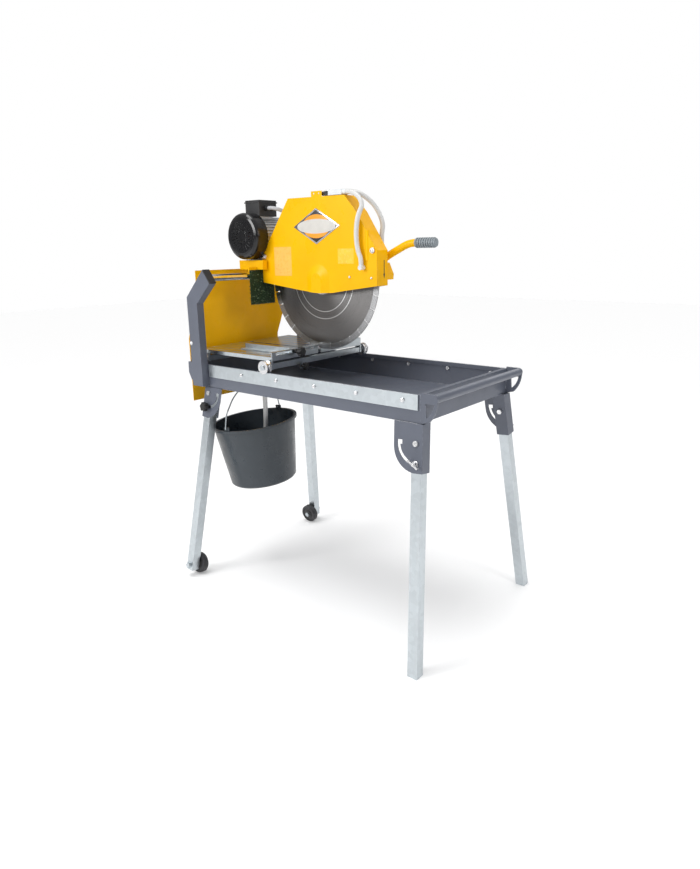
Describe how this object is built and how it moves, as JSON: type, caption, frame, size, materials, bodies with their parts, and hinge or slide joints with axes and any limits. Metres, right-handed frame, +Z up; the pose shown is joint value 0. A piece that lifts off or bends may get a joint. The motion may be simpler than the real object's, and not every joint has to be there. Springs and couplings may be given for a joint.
{
  "type": "masonry saw",
  "caption": "Wet-cut masonry saw: blade, guard and motor on a tilting arm over a water trough with a rolling cart, folding legs and a drain bucket.",
  "frame": {"origin": "centre of the footprint, on the floor", "axes": "+X along the bench towards the push handle, +Y across it away from the guard's cover side, +Z up"},
  "size_m": [1.1576, 0.7784, 1.45],
  "materials": {
    "frame_paint": "satin",
    "yellow_paint": "satin",
    "black_paint": "satin",
    "galvanised": "satin",
    "zinc": "satin",
    "blade_steel": "satin",
    "shaft_chrome": "polished",
    "motor_alloy": "cast",
    "pulley_iron": "machined",
    "table_sheet": "satin",
    "black_plastic": "matte",
    "grey_plastic": "matte",
    "green_button": "gloss",
    "red_button": "gloss",
    "valve_plastic": "gloss",
    "hose_rubber": "satin",
    "belt_rubber": "matte",
    "mat_rubber": "matte",
    "wheel_tyre": "matte",
    "grip_rubber": "satin",
    "conduit_plastic": "matte"
  },
  "bodies": {
    "bench": {"trough": "frame_paint", "rail_near": "galvanised", "rail_far": "galvanised", "rail_bolts": "zinc", "push_handle": "frame_paint", "posts": "frame_paint", "post_caps": "black_plastic", "pivot_shaft": "shaft_chrome", "splash_panel": "yellow_paint", "brackets_front": "frame_paint", "brackets_rear": "frame_paint", "pivot_bolts": "zinc", "drain_fitting": "black_plastic", "drain_hose": "hose_rubber"},
    "head": {"swing_arm": "yellow_paint", "splash_mat": "mat_rubber", "motor_body": "motor_alloy", "fan_cowl": "black_paint", "terminal_box": "black_plastic", "belt_guard": "yellow_paint", "guard_shell": "yellow_paint", "guard_cover": "yellow_paint", "water_fittings": "valve_plastic", "hose_near": "hose_rubber", "hose_far": "hose_rubber", "motor_conduit": "conduit_plastic", "lift_handle": "yellow_paint", "handle_grip": "grip_rubber", "switch_box": "grey_plastic", "drive_belt": "belt_rubber"},
    "blade": {"blade": "blade_steel", "arbor": "zinc", "arbor_pulley": "pulley_iron"},
    "rotor": {"motor_shaft": "zinc", "motor_pulley": "pulley_iron"},
    "valve": {"valve_lever": "zinc"},
    "start_button": {"button_on": "green_button"},
    "stop_button": {"button_off": "red_button"},
    "cart": {"cart_table": "table_sheet", "front_stop": "galvanised", "cart_axles": "galvanised"},
    "fence": {"fence": "galvanised"},
    "fence_knob": {"fence_knob": "black_plastic"},
    "cart_knob": {"cart_knob": "black_plastic"},
    "bail": {"bucket_bail": "galvanised"},
    "bucket": {"bucket": "black_plastic"},
    "roller_front_near": {"roller_front_near": "zinc"},
    "roller_front_far": {"roller_front_far": "zinc"},
    "roller_rear_near": {"roller_rear_near": "zinc"},
    "roller_rear_far": {"roller_rear_far": "zinc"},
    "leg_front_near": {"leg_front_near": "galvanised"},
    "leg_front_far": {"leg_front_far": "galvanised"},
    "leg_rear_near": {"leg_rear_near": "galvanised"},
    "leg_rear_far": {"leg_rear_far": "galvanised"},
    "lock_front_near": {"lock_front_near": "zinc"},
    "lock_front_far": {"lock_front_far": "zinc"},
    "lock_rear_near": {"lock_rear_near": "black_plastic"},
    "lock_rear_far": {"lock_rear_far": "black_plastic"},
    "wheel_near": {"wheel_near": "wheel_tyre"},
    "wheel_far": {"wheel_far": "wheel_tyre"}
  },
  "joints": [
    {"name": "head_tilt", "type": "hinge", "parent": "bench", "child": "head", "pos_m": [-0.4, 0, 1.16], "axis": [0, -1, 0], "range_deg": [-2, 38]},
    {"name": "blade_spin", "type": "hinge", "parent": "head", "child": "blade", "pos_m": [-0.097, 0, 1.149], "axis": [0, 1, 0], "continuous": true},
    {"name": "motor_spin", "type": "hinge", "parent": "head", "child": "rotor", "pos_m": [-0.42, 0, 1.304], "axis": [0, 1, 0], "continuous": true},
    {"name": "valve_turn", "type": "hinge", "parent": "head", "child": "valve", "pos_m": [-0.054, -0.014, 1.447], "axis": [0, 0, 1], "range_deg": [0, 90]},
    {"name": "start_press", "type": "slide", "parent": "head", "child": "start_button", "axis": [0, -1, 0], "range_m": [0, 0.003], "stiffness_N_per_m": 600},
    {"name": "stop_press", "type": "slide", "parent": "head", "child": "stop_button", "axis": [0, -1, 0], "range_m": [0, 0.003], "stiffness_N_per_m": 600},
    {"name": "cart_slide", "type": "slide", "parent": "bench", "child": "cart", "axis": [1, 0, 0], "range_m": [0, 0.56]},
    {"name": "roller_front_near_spin", "type": "hinge", "parent": "cart", "child": "roller_front_near", "pos_m": [-0.138, -0.269, 0.8641], "axis": [0, 1, 0], "continuous": true},
    {"name": "roller_front_far_spin", "type": "hinge", "parent": "cart", "child": "roller_front_far", "pos_m": [-0.138, 0.269, 0.8641], "axis": [0, 1, 0], "continuous": true},
    {"name": "roller_rear_near_spin", "type": "hinge", "parent": "cart", "child": "roller_rear_near", "pos_m": [-0.474, -0.264, 0.8641], "axis": [0, 1, 0], "continuous": true},
    {"name": "roller_rear_far_spin", "type": "hinge", "parent": "cart", "child": "roller_rear_far", "pos_m": [-0.474, 0.264, 0.8641], "axis": [0, 1, 0], "continuous": true},
    {"name": "fence_slide", "type": "slide", "parent": "cart", "child": "fence", "axis": [0, 1, 0], "range_m": [-0.06, 0.07]},
    {"name": "fence_knob_turn", "type": "hinge", "parent": "fence", "child": "fence_knob", "pos_m": [-0.098, -0.128, 0.9045], "axis": [1, 0, 0], "continuous": true},
    {"name": "cart_knob_turn", "type": "hinge", "parent": "cart", "child": "cart_knob", "pos_m": [-0.11, -0.095, 0.847], "axis": [1, 0, 0], "continuous": true},
    {"name": "leg_front_near_fold", "type": "hinge", "parent": "bench", "child": "leg_front_near", "pos_m": [0.496, -0.2623, 0.7], "axis": [0, 0.989, -0.1478], "range_deg": [0, 88]},
    {"name": "leg_front_far_fold", "type": "hinge", "parent": "bench", "child": "leg_front_far", "pos_m": [0.496, 0.2623, 0.7], "axis": [0, 0.989, 0.1478], "range_deg": [0, 88]},
    {"name": "leg_rear_near_fold", "type": "hinge", "parent": "bench", "child": "leg_rear_near", "pos_m": [-0.442, -0.257, 0.735], "axis": [0, 0.989, -0.1478], "range_deg": [-93.9, 0]},
    {"name": "leg_rear_far_fold", "type": "hinge", "parent": "bench", "child": "leg_rear_far", "pos_m": [-0.442, 0.257, 0.735], "axis": [0, 0.989, 0.1478], "range_deg": [-93.9, 0]},
    {"name": "lock_front_near_turn", "type": "hinge", "parent": "leg_front_near", "child": "lock_front_near", "pos_m": [0.50123, -0.30575, 0.64606], "axis": [0, 0.989, -0.1478], "continuous": true},
    {"name": "lock_front_far_turn", "type": "hinge", "parent": "leg_front_far", "child": "lock_front_far", "pos_m": [0.50123, 0.30575, 0.64606], "axis": [0, 0.989, 0.1478], "continuous": true},
    {"name": "lock_rear_near_turn", "type": "hinge", "parent": "leg_rear_near", "child": "lock_rear_near", "pos_m": [-0.4473, -0.29926, 0.68901], "axis": [0, 0.989, -0.1478], "continuous": true},
    {"name": "lock_rear_far_turn", "type": "hinge", "parent": "leg_rear_far", "child": "lock_rear_far", "pos_m": [-0.4473, 0.29926, 0.68901], "axis": [0, 0.989, 0.1478], "continuous": true},
    {"name": "wheel_near_spin", "type": "hinge", "parent": "leg_rear_near", "child": "wheel_near", "pos_m": [-0.5134, -0.32706, 0.04089], "axis": [0, 0.989, -0.1478], "continuous": true},
    {"name": "wheel_far_spin", "type": "hinge", "parent": "leg_rear_far", "child": "wheel_far", "pos_m": [-0.5134, 0.32706, 0.04089], "axis": [0, 0.989, 0.1478], "continuous": true},
    {"name": "bail_swing", "type": "hinge", "parent": "bench", "child": "bail", "pos_m": [-0.41169, -0.09473, 0.74264], "axis": [-0.1336, 0.9883, 0.0732], "range_deg": [-8, 8]},
    {"name": "bucket_tilt", "type": "hinge", "parent": "bail", "child": "bucket", "pos_m": [-0.413, -0.085, 0.609], "axis": [-0.1336, 0.9883, 0.0732], "range_deg": [-10, 10]}
  ],
  "couplings": [
    {"joint": "motor_spin", "follows": "blade_spin", "ratio": 1.4474},
    {"joint": "roller_front_near_spin", "follows": "cart_slide", "rad_per_m": 55.556},
    {"joint": "roller_front_far_spin", "follows": "cart_slide", "rad_per_m": 55.556},
    {"joint": "roller_rear_near_spin", "follows": "cart_slide", "rad_per_m": 55.556},
    {"joint": "roller_rear_far_spin", "follows": "cart_slide", "rad_per_m": 55.556}
  ]
}
